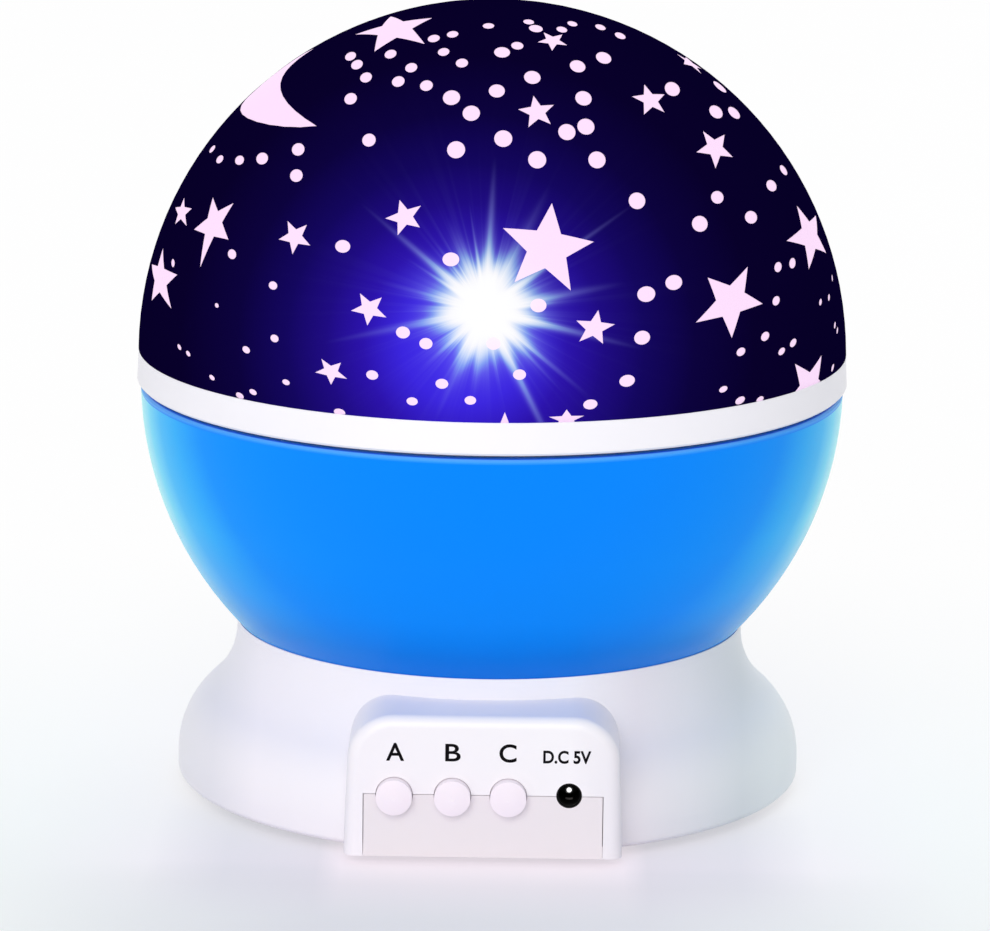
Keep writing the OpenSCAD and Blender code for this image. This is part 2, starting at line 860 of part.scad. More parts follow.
module bottom_plate() {
    color([0.9, 0.88, 0.95])
        difference() {
            union() {
                translate([0, 0, foot_z])
                    cylinder(r = plate_r, h = 2);
                translate([-tab_hw, -panel_y, foot_z])
                    cube([2 * tab_hw, 14, 2]);
                translate([-tab_hw, -panel_y, foot_z])
                    cube([2 * tab_hw, 2, row_z + 0.1 - foot_z]);
                for (x = [-17, 0, 17])
                    translate([x - 0.75, -wall_y - 0.5, foot_z])
                        cube([1.5, 4.5, 6]);
                translate([-bay_x - 1.5, -bay_y - 1.5, foot_z])
                    cube([2 * bay_x + 3, 2 * bay_y + 3, bay_top + 1.4 - foot_z]);
                for (s = [-1, 1])
                    translate([s > 0 ? 17.6 : -20, -47.2, foot_z])
                        cube([2.4, 4.8, 13]);
                translate([-7, -33.5, foot_z])
                    cube([14, 9, 3.7]);
                translate([0, -29, foot_z])
                    cylinder(r = 3.2, h = 10.6, $fn = 48);
            }
            translate([-bay_x, -bay_y, 0])
                cube([2 * bay_x, 2 * bay_y, bay_top]);
            translate([-5.2, -32.3, 0])
                cube([10.4, 10, plate_top + 0.2]);
            translate([-board_hw - 0.1, -board_front - 0.05, plate_top + 0.1])
                cube([2 * board_hw + 0.2, board_front - board_y + 0.1, 20]);
            translate([0, -29, 0])
                cylinder(r = 1.3, h = 10, $fn = 32);
            for (x = [-16.2, 9.8])
                translate([x, bay_y - 2, plate_top])
                    cube([6.4, 4.4, 3]);
            for (x = row_x)
                translate([x, -40, row_z])
                    rotate([90, 0, 0])
                        cylinder(r = hole_r, h = 20, $fn = 48);
            translate([jack_x, -40, jack_z])
                rotate([90, 0, 0])
                    cylinder(r = jack_r, h = 20, $fn = 48);
            for (at = foot_bosses)
                translate([at[0], at[1], 0]) {
                    cylinder(r = 1.4, h = 10, $fn = 32);
                    cylinder(r = 2.9, h = foot_z + 1.1, $fn = 48);
                }
            for (at = pads)
                translate([at[0], at[1], 0])
                    cylinder(r = 5, h = foot_z + 0.6, $fn = 64);
            for (y = [cell_y[0], cell_y[3]])
                translate([bay_x - 0.7, y - 1.2, 12])
                    cube([0.7, 2.4, 8]);
        }
}

module base_screws() {
    color([0.7, 0.7, 0.72])
        for (at = foot_bosses)
            translate([at[0], at[1], foot_z + 1.1])
                rotate([180, 0, 0])
                    screw(2.6, 0.9, 1.1, 9);
}

module rubber_feet() {
    color([0.85, 0.85, 0.86])
        for (at = pads)
            translate([at[0], at[1], 0])
                rotate_extrude($fn = 64)
                    polygon([[0, 0], [4.5, 0], [5, 0.5], [5, foot_z + 0.6], [0, foot_z + 0.6]]);
}

// battery door, hinged on its rounded back edge and two hooks

module battery_door() {
    color([0.9, 0.88, 0.95])
        difference() {
            union() {
                translate([-bay_x + 0.2, -bay_y + 0.2, foot_z])
                    cube([2 * bay_x - 0.4, 2 * bay_y - 1.4, 2]);
                translate([-bay_x + 0.2, bay_y - 1.2, foot_z + 1])
                    rotate([0, 90, 0])
                        cylinder(r = 1, h = 2 * bay_x - 0.4, $fn = 32);
                translate([-5, -32, foot_z])
                    cube([10, 10, 2]);
                for (x = [-16, 10]) {
                    translate([x, bay_y - 3, foot_z + 1])
                        cube([6, 2.6, 2.35]);
                    translate([x, bay_y - 3, foot_z + 2.15])
                        cube([6, 4.9, 1.2]);
                }
            }
            translate([0, -29, 0])
                cylinder(r = 1.2, h = 10, $fn = 32);
            translate([0, -29, 0])
                cylinder(r = 2.5, h = foot_z + 1, $fn = 48);
            for (y = [-19:2.2:-10])
                translate([-8, y, foot_z - 0.4])
                    cube([16, 1.1, 0.9]);
        }
}

module door_screw() {
    color([0.7, 0.7, 0.72])
        translate([0, -29, foot_z + 1])
            rotate([180, 0, 0])
                screw(2.2, 0.9, 1, 5.8);
}

module battery_cells() {
    color([0.15, 0.35, 0.6])
        for (i = [0:3])
            translate([0, cell_y[i], cell_z])
                rotate([0, i % 2 == 0 ? 90 : -90, 0]) {
                    translate([0, 0, bay_x - 0.5 - cell_l])
                        cylinder(r = cell_d / 2, h = cell_l - 0.8, $fn = 64);
                    translate([0, 0, bay_x - 1.5])
                        cylinder(r = 1.9, h = 1, $fn = 48);
                }
}

// One spring as a six-sided tube swept along a cone, eight rings to a turn
module coil_spring() {
    wire_r = 0.35;
    rings = 8 * spring_turns;
    long = 2 * bay_x - 1 - cell_l - 2 * wire_r - 0.1;
    pts = [
        for (i = [0:rings], j = [0:5])
            let (
                a = 45 * i,
                r = 3.9 - 1.6 * i / rings + wire_r * cos(60 * j),
                z = wire_r + 0.05 + long * i / rings + wire_r * sin(60 * j)
            )
            [r * cos(a), r * sin(a), z]
    ];
    sides = [
        for (i = [0:rings - 1], j = [0:5], k = [0, 1])
            let (p = 6 * i + j, q = 6 * i + (j + 1) % 6)
            k == 0 ? [p, q, q + 6] : [p, q + 6, p + 6]
    ];
    ends = [for (k = [1:4]) [0, k + 1, k]];
    last = 6 * rings;
    polyhedron(points = pts, faces = concat(sides, ends, [for (k = [1:4]) [last, last + k, last + k + 1]]));
}

module battery_springs() {
    color([0.8, 0.8, 0.82])
        for (i = [0:3])
            translate([0, cell_y[i], cell_z])
                rotate([0, i % 2 == 0 ? 90 : -90, 0])
                    translate([0, 0, -bay_x + 0.5])
                        coil_spring();
}

module battery_contacts() {
    color([0.85, 0.85, 0.87]) {
        translate([bay_x - 0.5, cell_y[0] - 4.5, 4.6])
            cube([0.5, 9, 9.6]);
        translate([bay_x - 0.5, cell_y[1] - 4.5, 4.6])
            cube([0.5, 20, 9.6]);
        translate([bay_x - 0.5, cell_y[3] - 4.5, 4.6])
            cube([0.5, 9, 9.6]);
        for (y = [cell_y[0], cell_y[3]])
            translate([bay_x - 0.5, y - 1, 14])
                cube([0.5, 2, 4]);
        for (i = [0, 2])
            translate([-bay_x, cell_y[i] - 4.5, 4.6])
                cube([0.5, 20, 9.6]);
    }
}

// controls

module control_board() {
    color([0.1, 0.4, 0.2])
        translate([-board_hw, -board_front, plate_top + 0.1])
            cube([2 * board_hw, board_front - board_y, 18.3]);
}

module switch_bodies() {
    color([0.15, 0.15, 0.16])
        for (x = row_x)
            difference() {
                translate([x - 3, -switch_y, row_z - 3])
                    cube([6, switch_y - board_front, 6]);
                translate([x, -switch_y + 2, row_z])
                    rotate([90, 0, 0])
                        cylinder(r = 1.8, h = 5, $fn = 48);
            }
}

module plunger(i) {
    color([0.1, 0.1, 0.1])
        translate([row_x[i], -switch_y + 0.3, row_z])
            rotate([90, 0, 0])
                cylinder(r = 1.7, h = 1.8, $fn = 48);
}

module plunger_a() {
    plunger(0);
}

module plunger_b() {
    plunger(1);
}

module plunger_c() {
    plunger(2);
}

module button(i) {
    out = panel_y + button_out;
    color([0.95, 0.93, 0.99])
        translate([row_x[i], 0, row_z])
            rotate([90, 0, 0]) {
                intersection() {
                    translate([0, 0, wall_y - 0.5])
                        cylinder(r = button_r, h = 6, $fn = 64);
                    translate([0, 0, out - 9])
                        sphere(r = 9, $fn = 96);
                }
                translate([0, 0, wall_y - 0.9])
                    cylinder(r = 3.8, h = 0.8, $fn = 64);
                translate([0, 0, switch_y + 1.5])
                    cylinder(r = 1.5, h = 1, $fn = 48);
            }
}

module button_a() {
    button(0);
}

module button_b() {
    button(1);
}

module button_c() {
    button(2);
}

module dc_jack() {
    color([0.05, 0.05, 0.06])
        difference() {
            union() {
                translate([jack_x - 3.2, -wall_y + 1.5, jack_z - 3.2])
                    cube([6.4, wall_y - 1.5 - board_front, 6.4]);
                translate([jack_x, -wall_y + 2, jack_z])
                    rotate([90, 0, 0])
                        cylinder(r = 3, h = 1.95, $fn = 48);
                translate([jack_x, -wall_y + 1, jack_z])
                    rotate([90, 0, 0])
                        cylinder(r = jack_r - 0.08, h = foot_wall + 0.85, $fn = 48);
            }
            translate([jack_x, -46.8, jack_z])
                rotate([90, 0, 0])
                    cylinder(r = 1.78, h = 10, $fn = 48);
        }
}

module jack_pin() {
    color([0.85, 0.85, 0.87])
        translate([jack_x, -46.8, jack_z])
            rotate([90, 0, 0])
                cylinder(r = 0.65, h = 4, $fn = 32);
}

module control_chip() {
    color([0.08, 0.08, 0.09]) {
        translate([-9, -board_y, 12])
            cube([5, 1.5, 6]);
        for (s = [-1, 1], z = [12.6:1.27:17.8])
            translate([s > 0 ? -4 : -10, -board_y, z])
                cube([1, 0.5, 0.4]);
    }
}

module capacitor() {
    color([0.15, 0.15, 0.35])
        translate([8, -board_y, 14])
            rotate([-90, 0, 0]) {
                cylinder(r = 2.5, h = 6, $fn = 48);
                cylinder(r = 2.7, h = 0.6, $fn = 48);
            }
}

module resistors() {
    color([0.8, 0.7, 0.5])
        for (z = [7, 9.5])
            for (x = [-2, 2.5])
                translate([x, -board_y, z])
                    cube([3.2, 0.8, 1.6]);
}

// leads

module led_leads() {
    turns = [288, 216, 0, 144, 72];
    color([0.8, 0.15, 0.15])
        for (i = [0:4])
            let (x = 2.6 * cos(turns[i]), y = 2.6 * sin(turns[i]), z = 21.4 - 0.9 * i)
                wire([[x, y, board_z], [x, y, z], [x * 0.7, -board_y, z]], 0.38);
}

module motor_leads() {
    mx = motor_at[0];
    my = motor_at[1];
    y = -board_y + 0.1;
    color([0.1, 0.1, 0.12]) {
        wire([[mx - 4, my + 4, 44], [mx - 4, my + 4, 40], [4.2, -1.6, 40], [4.2, -1.6, 23], [10, y, 21]], 0.5);
        wire([[mx + 4, my - 4, 44], [mx + 4, my - 4, 38], [5, 1.4, 38], [5, 1.4, 23], [13.5, y, 21]], 0.5);
    }
}

module battery_leads() {
    x = bay_x - 1.1;
    y = -board_y + 0.2;
    color([0.8, 0.1, 0.1]) {
        wire([[x, cell_y[0], 17.4], [16.6, y, 17.4]], 0.6);
        wire([[x, cell_y[3], 17.4], [13.4, y, 17.4]], 0.6);
    }
}

night_sky_mask();
clear_dome();
dome_ring();
turntable();
thrust_washer();
led_post();
post_screws();
retaining_ring();
led_board();
warm_led();
red_led();
green_led();
blue_led();
deck();
deck_screws();
motor();
motor_screws();
motor_pinion();
gear_one();
gear_two();
gear_axles();
axle_clip();
bowl();
bowl_screws();
base_shell();
bottom_plate();
base_screws();
rubber_feet();
battery_door();
door_screw();
battery_cells();
battery_springs();
battery_contacts();
control_board();
switch_bodies();
plunger_a();
plunger_b();
plunger_c();
button_a();
button_b();
button_c();
dc_jack();
jack_pin();
control_chip();
capacitor();
resistors();
led_leads();
motor_leads();
battery_leads();
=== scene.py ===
import math

import bmesh
import bpy
from mathutils import Matrix, Vector


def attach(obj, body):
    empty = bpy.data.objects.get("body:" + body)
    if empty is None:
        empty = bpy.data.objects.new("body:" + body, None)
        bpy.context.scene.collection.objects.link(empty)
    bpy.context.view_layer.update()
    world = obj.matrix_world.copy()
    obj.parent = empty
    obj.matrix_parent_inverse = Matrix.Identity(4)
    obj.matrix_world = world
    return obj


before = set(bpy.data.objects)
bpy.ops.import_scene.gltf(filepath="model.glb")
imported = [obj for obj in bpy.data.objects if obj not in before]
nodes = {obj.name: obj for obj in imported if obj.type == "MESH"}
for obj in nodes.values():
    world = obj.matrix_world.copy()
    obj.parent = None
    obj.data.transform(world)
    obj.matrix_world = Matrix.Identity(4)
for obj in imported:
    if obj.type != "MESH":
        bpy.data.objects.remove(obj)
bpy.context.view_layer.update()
scene = bpy.context.scene
scene.view_settings.view_transform = "Standard"
print("frame loaded,", len(nodes), "pieces")

mm = 0.001
domeCentre = Vector((0, 0, 74.2 * mm))  # middle of the sphere that the skin lies on

# camera, placed as in the photograph

cameraSettings = {
    "distance": 902.71 * mm,
    "height": 262.13 * mm,
    "round": 0.7,  # degrees round the lamp from straight in front
    "focalPixels": 5425.85,
    "imageWidth": 990,
    "pitchDown": 1.187,  # degrees below the middle of the dome
    "turn": 0.042,
    "lean": 0.678,  # the lamp leans a little in the photograph
    "sensor": 36,
    "nearest": 0.05,
    "farthest": 30,
}


def turnedRound(vector, degrees):
    return Matrix.Rotation(math.radians(degrees), 3, "Z") @ Vector(vector)


def eyePoint():
    straight = (0, -cameraSettings["distance"], cameraSettings["height"])
    return turnedRound(straight, cameraSettings["round"])


def viewAxes():
    side = turnedRound((1, 0, 0), cameraSettings["round"])
    toDome = (domeCentre - eyePoint()).normalized()
    up = side.cross(toDome)
    pitch = math.radians(cameraSettings["pitchDown"])
    turn = math.radians(cameraSettings["turn"])
    lean = math.radians(cameraSettings["lean"])
    forward = toDome * math.cos(pitch) - up * math.sin(pitch)
    forward = (forward * math.cos(turn) + side * math.sin(turn)).normalized()
    right = forward.cross(Vector((0, 0, 1))).normalized()
    above = right.cross(forward)
    leftToRight = right * math.cos(lean) + above * math.sin(lean)
    bottomToTop = above * math.cos(lean) - right * math.sin(lean)
    return leftToRight, bottomToTop, -forward


def addCamera():
    data = bpy.data.cameras.new("camera")
    data.sensor_width = cameraSettings["sensor"]
    data.lens = cameraSettings["focalPixels"] / cameraSettings["imageWidth"] * data.sensor_width
    data.clip_start = cameraSettings["nearest"]
    data.clip_end = cameraSettings["farthest"]
    camera = bpy.data.objects.new("camera", data)
    scene.collection.objects.link(camera)
    across, up, back = viewAxes()
    turned = Matrix((across, up, back)).transposed().to_4x4()
    camera.matrix_world = Matrix.Translation(eyePoint()) @ turned
    scene.camera = camera


addCamera()
print("camera placed")


# shader maths: a Flow wraps a socket, so that sums of sockets are written as sums

def rgb(red, green, blue):
    # screen values 0-255 to the linear values that the shaders take
    def linear(value):
        value /= 255
        return value / 12.92 if value <= 0.04045 else ((value + 0.055) / 1.055) ** 2.4
    return (linear(red), linear(green), linear(blue), 1)


class Flow:
    def __init__(self, shader, socket):
        self.shader = shader
        self.socket = socket

    def __add__(self, other):
        return self.shader.calc("ADD", self, other)

    def __radd__(self, other):
        return self.shader.calc("ADD", other, self)

    def __sub__(self, other):
        return self.shader.calc("SUBTRACT", self, other)

    def __rsub__(self, other):
        return self.shader.calc("SUBTRACT", other, self)

    def __mul__(self, other):
        return self.shader.calc("MULTIPLY", self, other)

    def __rmul__(self, other):
        return self.shader.calc("MULTIPLY", other, self)

    def __truediv__(self, other):
        return self.shader.calc("DIVIDE", self, other)

    def __rtruediv__(self, other):
        return self.shader.calc("DIVIDE", other, self)

    def __pow__(self, other):
        return self.shader.calc("POWER", self, other)

    def __neg__(self):
        return self.shader.calc("MULTIPLY", self, -1)

    def __abs__(self):
        return self.shader.calc("ABSOLUTE", self)

    def __lt__(self, other):
        return self.shader.calc("LESS_THAN", self, other)

    def __gt__(self, other):
        return self.shader.calc("GREATER_THAN", self, other)


class Shader:
    def __init__(self, name, tree=None):
        if tree is None:
            self.material = bpy.data.materials.new(name)
            self.material.use_nodes = True
            tree = self.material.node_tree
        self.tree = tree
        self.tree.nodes.clear()

    def add(self, kind, settings=None, values=None, output=0):
        node = self.tree.nodes.new(kind)
        for key, value in (settings or {}).items():
            if key == "stops":
                self.fillRamp(node.color_ramp, value)
            else:
                setattr(node, key, value)
        for key, value in (values or {}).items():
            if isinstance(value, Flow):
                self.tree.links.new(value.socket, node.inputs[key])
            else:
                node.inputs[key].default_value = value
        return Flow(self, node.outputs[output]) if len(node.outputs) else None

    def fillRamp(self, ramp, stops):
        while len(ramp.elements) < len(stops):
            ramp.elements.new(1)
        for element, (place, colour) in zip(ramp.elements, stops):
            element.position = place
            element.color = colour

    def calc(self, operation, first, second=None, clamp=False):
        values = {0: first}
        if second is not None:
            values[1] = second
        return self.add("ShaderNodeMath", {"operation": operation, "use_clamp": clamp}, values)

    def clamped(self, value):
        return self.calc("ADD", value, 0, True)

    def grow(self, value, start, end):
        # from 0 at the start to 1 at the end, and level past both
        return self.clamped((value - start) / (end - start))

    def mix(self, share, first, second):
        # the colour sockets of a Mix node are its inputs 6 and 7 and its output 2
        return self.add("ShaderNodeMix", {"data_type": "RGBA"}, {0: share, 6: first, 7: second}, 2)

    def dot(self, vector, direction):
        return self.add("ShaderNodeVectorMath", {"operation": "DOT_PRODUCT"},
                        {0: vector, 1: direction}, 1)

    def place(self):
        # place on the piece in metres, from the lamp's own origin
        return self.add("ShaderNodeTexCoord", output=3)

    def noise(self, scale, detail=2, roughness=0.5, at=None):
        return self.add("ShaderNodeTexNoise", None,
                        {"Vector": at or self.place(), "Scale": scale, "Detail": detail,
                         "Roughness": roughness})

    def ramp(self, value, stops):
        return self.add("ShaderNodeValToRGB", {"stops": stops}, {0: value})

    def scale(self, value, tones):
        # colours by a value in its own units
        low, high = tones[0][0], tones[-1][0]
        stops = [((at - low) / (high - low), rgb(*tone)) for at, tone in tones]
        return self.ramp((value - low) / (high - low), stops)

    def bump(self, height, strength, distance):
        return self.add("ShaderNodeBump", None,
                        {"Height": height, "Strength": strength, "Distance": distance})

    def finish(self, values):
        surface = self.add("ShaderNodeBsdfPrincipled", None, values)
        self.add("ShaderNodeOutputMaterial", None, {"Surface": surface})
        return self.material


# plastics, metals and boards

jackSettings = {
    "middle": Vector((14.0, 0, 12.1)) * mm,
    "holeEdge": 2.1 * mm,  # the walls of the hole are painted black as shade inside this
    "wallBack": -45 * mm,  # and in front of this
    "glint": 0.42 * mm,  # radius of the bright spot on the pin's tip
    "pinTip": -50.6 * mm,  # the painted glint is in front of this
    "leafHighlightFrom": -50.3 * mm,  # front and back of the pale dash painted for the end of the contact leaf and the highlight on it
    "leafHighlightTo": -49.3 * mm,
    "leafHighlightHalf": 0.6 * mm,
    "leafHighlightBelow": 10.9 * mm,
}

# what every plastic starts from: a recipe names only what differs
plasticBasics = {
    "driftScale": 34,
    "grainScale": 2600,
    "rippleScale": 70,
    "grainShare": 0.5,
    "bump": 0.08,
    "bumpDepth": 0.06 * mm,
    "roughnessDrift": 0.06,
    "heightsShare": 0.95,  # how far the painted light by height and across covers the colour, less where it drifts
    "heightsDrift": 0.1,
    "sidesShare": 0.9,
    "sidesDrift": 0.2,
    "gloss": 0.5,
    "glossTint": (255, 255, 255),
    "coat": 0.0,
    "coatRoughness": 0.08,
    "haze": 0.0,
    "hazeRoughness": 0.3,
    "hazeTint": (255, 255, 255),
    "milky": 0.0,
    "milkyReach": Vector((0.6, 0.55, 0.6)) * mm,
}


def distance(shader, across, up):
    return shader.calc("SQRT", across * across + up * up)


def fromJack(shader, where):
    # distance from the middle line of the jack, which runs front to back
    aside = shader.dot(where, (1, 0, 0)) - jackSettings["middle"].x
    above = shader.dot(where, (0, 0, 1)) - jackSettings["middle"].z
    return distance(shader, aside, above)


def plasticMaterial(name, recipe):
    # moulded plastic: faint colour drift, fine grain and a slow ripple from the mould; where a recipe
    # asks, painted shade, highlights, sheen and reflection on top
    recipe = {**plasticBasics, **recipe}
    shader = Shader(name)
    where = shader.place()
    drift = shader.noise(recipe["driftScale"], 3)
    grain = shader.noise(recipe["grainScale"], 2)
    ripple = shader.noise(recipe["rippleScale"], 1)
    colour = shader.mix(drift, rgb(*recipe["colour"]), rgb(*recipe["tint"]))
    if "heights" in recipe:
        # painted shade and highlight bands by height, then a painted pale sheen where the surface turns
        # away from the view
        height = shader.dot(where, (0, 0, 1)) / mm
        share = recipe["heightsShare"] - drift * recipe["heightsDrift"]
        colour = shader.mix(share, colour, shader.scale(height, recipe["heights"]))
        facing = shader.add("ShaderNodeLayerWeight", None, {"Blend": 0.5}, 1)
        share = shader.grow(height, *recipe["paintedSheenGrow"]) * (height < recipe["paintedSheenEnd"])
        colour = shader.mix(share, colour, shader.scale(facing, recipe["paintedSheenByFacing"]))
    if "sides" in recipe:
        # painted shade and reflection across the piece, from left to right
        aside = shader.dot(where, (1, 0, 0)) / mm
        share = recipe["sidesShare"] - drift * recipe["sidesDrift"]
        colour = shader.mix(share, colour, shader.scale(aside, recipe["sides"]))
    if "jackHole" in recipe:
        # the walls of the jack's hole through the white plastic are painted black, as shade inside the
        # hole
        inHole = fromJack(shader, where) < jackSettings["holeEdge"]
        inHole = inHole * (shader.dot(where, (0, 1, 0)) < jackSettings["wallBack"])
        colour = shader.mix(inHole, colour, rgb(*recipe["jackHole"]))
    relief = grain * recipe["grainShare"] + ripple
    return shader.finish({
        "Base Color": colour,
        "Roughness": recipe["roughness"] + (drift - 0.5) * recipe["roughnessDrift"],
        "Normal": shader.bump(relief, recipe["bump"], recipe["bumpDepth"]),
        "Specular IOR Level": recipe["gloss"],
        "Specular Tint": rgb(*recipe["glossTint"]),
        "Coat Weight": recipe["coat"],
        "Coat Roughness": recipe["coatRoughness"],
        "Sheen Weight": recipe["haze"],
        "Sheen Roughness": recipe["hazeRoughness"],
        "Sheen Tint": rgb(*recipe["hazeTint"]),
        "Subsurface Weight": recipe["milky"],
        "Subsurface Radius": recipe["milkyReach"],
    })


metalBasics = {
    "stretch": (1, 1, 12),  # squeezed upright, so that the brush marks run level
    "brushScale": 900,
    "brushRoughness": 0.16,
    "stainScale": 160,
    "bump": 0.15,
    "bumpDepth": 0.02 * mm,
}


def metalMaterial(name, recipe):
    # brushed metal with faint stains
    shader = Shader(name)
    brushed = shader.add("ShaderNodeMapping", None,
                         {"Vector": shader.place(), "Scale": metalBasics["stretch"]})
    brush = shader.noise(metalBasics["brushScale"], 3, 0.6, brushed)
    stain = shader.noise(metalBasics["stainScale"], 3)
    return shader.finish({
        "Base Color": shader.mix(stain, rgb(*recipe["colour"]), rgb(*recipe["tint"])),
        "Metallic": 1.0,
        "Roughness": recipe["roughness"] + brush * metalBasics["brushRoughness"],
        "Normal": shader.bump(brush, metalBasics["bump"], metalBasics["bumpDepth"]),
    })


plastics = {
    "ringWhite": {"colour": (245, 244, 248), "tint": (242, 240, 247), "roughness": 0.34,
                  "gloss": 0.3, "coat": 0.05},
    # painted light: the bowl's first table paints bands by height in mm, with painted shade low down, a
    # painted highlight on the lip and a painted shadow line in the gap under the ring;
    # it goes with a table that paints a pale sheen by how far a surface turns away, between the levels
    # named last; the shell's table across paints shade and reflection from left to right
    "bowlBlue": {"colour": (6, 131, 250), "tint": (8, 135, 252), "roughness": 0.26, "gloss": 0.08,
                 "glossTint": (120, 200, 255), "bump": 0.05, "haze": 0.3, "hazeTint": (70, 255, 250),
                 "heights": [(33, (0, 118, 226)), (40, (2, 133, 250)), (50, (6, 133, 251)),
                             (68.3, (6, 133, 250)), (68.7, (64, 160, 252)), (69.05, (100, 180, 255)),
                             (69.2, (16, 70, 208)), (69.5, (12, 56, 196))],
                 "paintedSheenByFacing": [(0, (8, 132, 250)), (0.2, (14, 137, 252)), (0.47, (14, 148, 254)),
                           (0.6, (36, 177, 255)), (0.7, (54, 188, 255)), (0.8, (104, 217, 255)),
                           (1, (210, 255, 255))],
                 "paintedSheenGrow": (30, 50), "paintedSheenEnd": 68.3},
    # the shell's colour across is painted: bright in the middle, painted shade on both flanks, deepest
    # on the right, and a painted pale cyan reflection at the right edge
    "shellWhite": {"colour": (245, 243, 246), "tint": (242, 240, 245), "roughness": 0.3,
                   "gloss": 0.35, "coat": 0.05, "jackHole": (8, 7, 9),
                   "sides": [(-54, (236, 234, 240)), (-46, (233, 231, 238)), (-38, (247, 242, 248)),
                             (-22, (245, 241, 246)), (14, (245, 243, 246)), (25, (229, 225, 231)),
                             (34, (223, 226, 231)), (43, (208, 219, 222)), (49, (224, 235, 236))]},
    "plateWhite": {"colour": (235, 229, 232), "tint": (232, 226, 230), "roughness": 0.34,
                   "gloss": 0.3, "jackHole": (8, 7, 9)},
    "doorWhite": {"colour": (237, 230, 241), "tint": (232, 226, 238), "roughness": 0.34, "coat": 0.1},
    "buttonWhite": {"colour": (249, 238, 246), "tint": (245, 236, 245), "roughness": 0.42,
                    "gloss": 0.2, "milky": 0.15},
    "inkBlack": {"colour": (8, 6, 10), "tint": (12, 9, 14), "roughness": 0.6, "gloss": 0.05},
    "tableWhite": {"colour": (238, 237, 238), "tint": (230, 230, 232), "roughness": 0.38},
    "postWhite": {"colour": (232, 232, 236), "tint": (226, 226, 230), "roughness": 0.42},
    "deckGrey": {"colour": (214, 216, 222), "tint": (206, 208, 216), "roughness": 0.44},
    "gearNylon": {"colour": (236, 232, 218), "tint": (228, 224, 208), "roughness": 0.4, "milky": 0.2},
    "gearAcetal": {"colour": (224, 228, 236), "tint": (214, 220, 230), "roughness": 0.36, "milky": 0.2},
    "washerDark": {"colour": (36, 36, 40), "tint": (48, 48, 54), "roughness": 0.34},
    "footRubber": {"colour": (70, 70, 76), "tint": (84, 84, 90), "roughness": 0.72, "gloss": 0.3,
                   "bump": 0.25},
    "partBlack": {"colour": (20, 20, 22), "tint": (30, 30, 34), "roughness": 0.45},
    "plungerDark": {"colour": (38, 34, 36), "tint": (52, 46, 48), "roughness": 0.4},
    "wireRed": {"colour": (186, 22, 24), "tint": (160, 16, 18), "roughness": 0.36},
    "wireBlack": {"colour": (22, 22, 24), "tint": (34, 34, 38), "roughness": 0.36},
}

metals = {
    "screwSteel": {"colour": (196, 198, 204), "tint": (164, 168, 176), "roughness": 0.22},
    "axleSteel": {"colour": (212, 214, 218), "tint": (186, 190, 196), "roughness": 0.14},
    "springSteel": {"colour": (206, 206, 204), "tint": (178, 178, 178), "roughness": 0.2},
    "contactNickel": {"colour": (214, 210, 200), "tint": (186, 180, 168), "roughness": 0.24},
    "motorCan": {"colour": (190, 194, 200), "tint": (160, 164, 172), "roughness": 0.28},
    "pinionBrass": {"colour": (214, 176, 96), "tint": (184, 140, 66), "roughness": 0.24},
}


def lampMaterial(name, tone, glow):
    # clear tinted epoxy of a 5 mm lamp, with the paler chip showing in its middle
    shader = Shader(name)
    cloud = shader.noise(700, 3)
    colour = shader.mix(cloud, rgb(*tone), rgb(*glow))
    return shader.finish({
        "Base Color": colour,
        "Roughness": 0.08 + cloud * 0.08,
        "Transmission Weight": 0.35,
        "IOR": 1.5,
        "Emission Color": shader.mix(cloud * 0.5, rgb(*glow), rgb(255, 250, 245)),
        "Emission Strength": 0.25,
    })


def jackMaterial():
    # black inside, with a pale dash painted on the floor of the bore for the end of a contact leaf and
    # the highlight on it
    shader = Shader("jackBlack")
    where = shader.place()
    aside = abs(shader.dot(where, (1, 0, 0)) - jackSettings["middle"].x)
    depth = shader.dot(where, (0, 1, 0))
    height = shader.dot(where, (0, 0, 1))
    leafHighlight = (depth > jackSettings["leafHighlightFrom"]) * (depth < jackSettings["leafHighlightTo"])
    leafHighlight = leafHighlight * (aside < jackSettings["leafHighlightHalf"]) * (height < jackSettings["leafHighlightBelow"])
    grain = shader.noise(1400, 2, 0.5, where)
    black = shader.mix(grain, rgb(6, 5, 7), rgb(12, 11, 13))
    return shader.finish({
        "Base Color": shader.mix(leafHighlight, black, rgb(150, 146, 146)),
        "Roughness": 0.4 + grain * 0.1,
        "Specular IOR Level": 0.1,
        "Normal": shader.bump(grain, 0.1, 0.02 * mm),
    })


def pinMaterial():
    # a nickel pin painted dark, as shade in the bore, with a painted glint on the middle of its tip
    # given as emission
    shader = Shader("jackPin")
    where = shader.place()
    middle = fromJack(shader, where) < jackSettings["glint"]
    paintedGlint = (shader.dot(where, (0, 1, 0)) < jackSettings["pinTip"]) * middle
    grain = shader.noise(900, 2, 0.5, where)
    return shader.finish({
        "Base Color": shader.mix(paintedGlint, rgb(24, 24, 26), rgb(250, 250, 248)),
        "Roughness": 0.3 + grain * 0.1,
        "Metallic": 0.4,
        "Normal": shader.bump(grain, 0.1, 0.02 * mm),
        "Emission Color": shader.mix(paintedGlint, rgb(0, 0, 0), rgb(225, 225, 224)),
        "Emission Strength": 0.8,
    })


